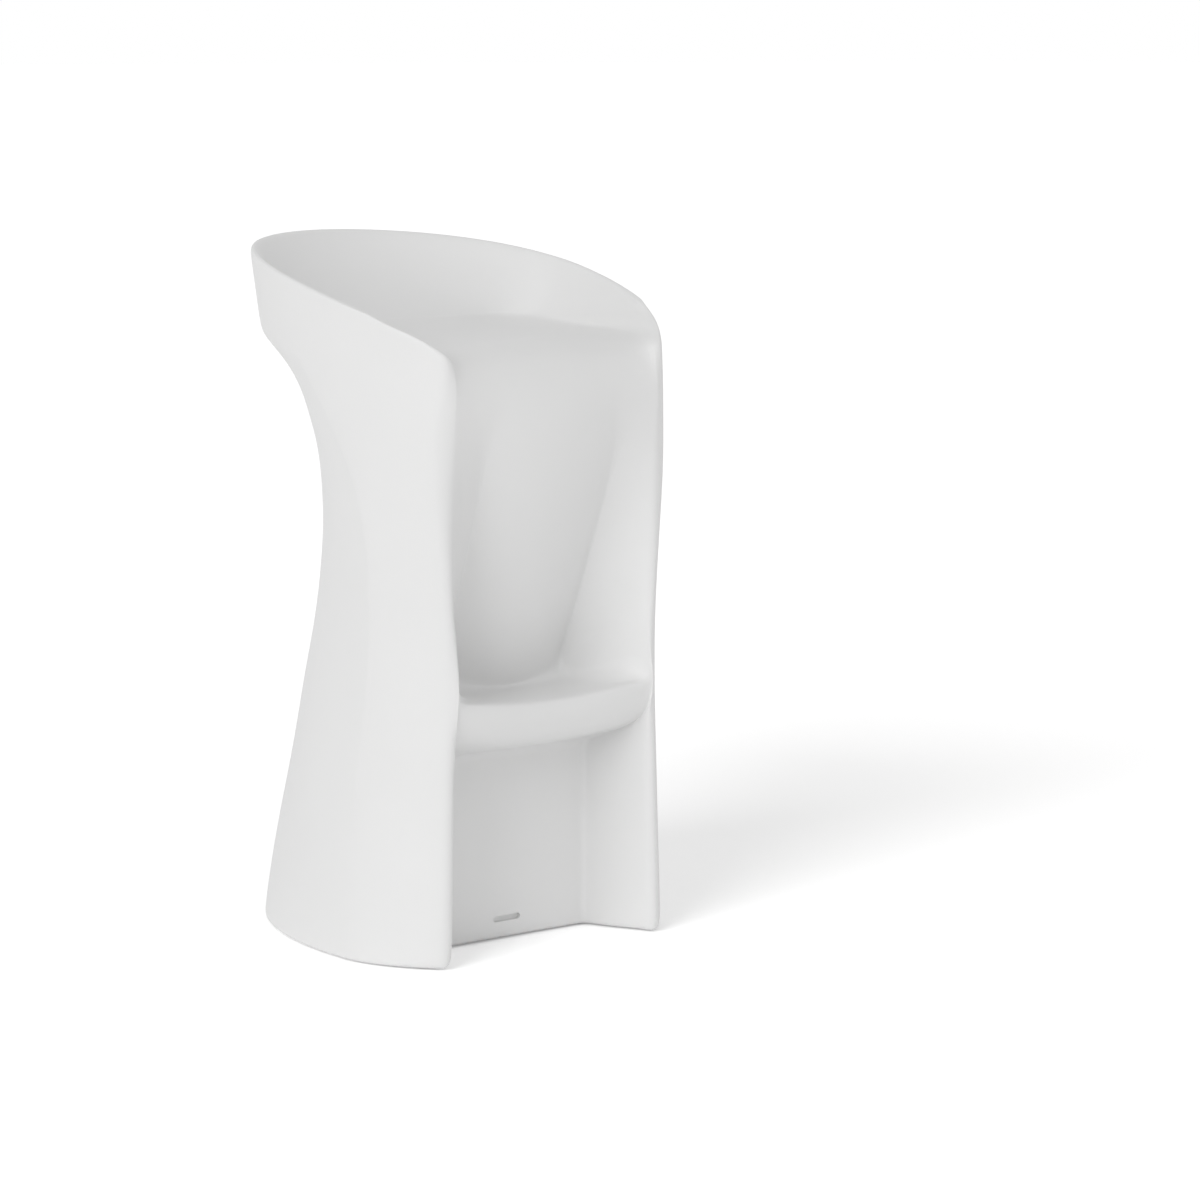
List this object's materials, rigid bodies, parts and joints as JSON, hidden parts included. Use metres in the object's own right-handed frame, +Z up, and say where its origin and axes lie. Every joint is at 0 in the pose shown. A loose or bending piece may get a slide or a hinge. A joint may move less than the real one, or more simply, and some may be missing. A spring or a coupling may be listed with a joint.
{
  "type": "in-pool bar stool",
  "caption": "Bar stool for standing in shallow pool water: a one-piece hollow moulded shell with bucket seat, leg well and footrest, ballasted with water through screw-capped ports.",
  "frame": {"origin": "on the floor, under the middle of the stool's outline", "axes": "+Z up, the open front faces -Y, +X to the right of someone who looks at the front along +Y"},
  "size_m": [0.4682, 0.5118, 0.8792],
  "materials": {
    "shell": "white rotomoulded plastic with a fine orange-peel grain",
    "insert": "turned, dull from water",
    "cap": "moulded, smooth",
    "rubber": "matt"
  },
  "bodies": {
    "stool": {"shell": "shell", "fill_insert": "insert", "drain_insert": "insert", "pad_front_left": "rubber", "pad_front_right": "rubber", "pad_rear_left": "rubber", "pad_rear_right": "rubber"},
    "fill_seal": {"fill_gasket": "rubber"},
    "fill_screw_cap": {"fill_cap": "cap"},
    "drain_seal": {"drain_gasket": "rubber"},
    "drain_screw_cap": {"drain_cap": "cap"}
  },
  "joints": [
    {"name": "fill_cap_travel", "type": "slide", "parent": "stool", "child": "fill_seal", "axis": [0, 1, 0], "range_m": [0, 0.02]},
    {"name": "fill_cap_turn", "type": "hinge", "parent": "fill_seal", "child": "fill_screw_cap", "pos_m": [0, 0.11321, 0.59], "axis": [0, 1, 0], "range_deg": [0, 1800]},
    {"name": "drain_cap_travel", "type": "slide", "parent": "stool", "child": "drain_seal", "axis": [0, 1, 0], "range_m": [0, 0.02]},
    {"name": "drain_cap_turn", "type": "hinge", "parent": "drain_seal", "child": "drain_screw_cap", "pos_m": [0, 0.22932, 0.072], "axis": [0, 1, 0], "range_deg": [0, 1800]}
  ],
  "couplings": [
    {"joint": "fill_cap_travel", "follows": "fill_cap_turn", "m_per_rad": 0.000636},
    {"joint": "drain_cap_travel", "follows": "drain_cap_turn", "m_per_rad": 0.000636}
  ]
}
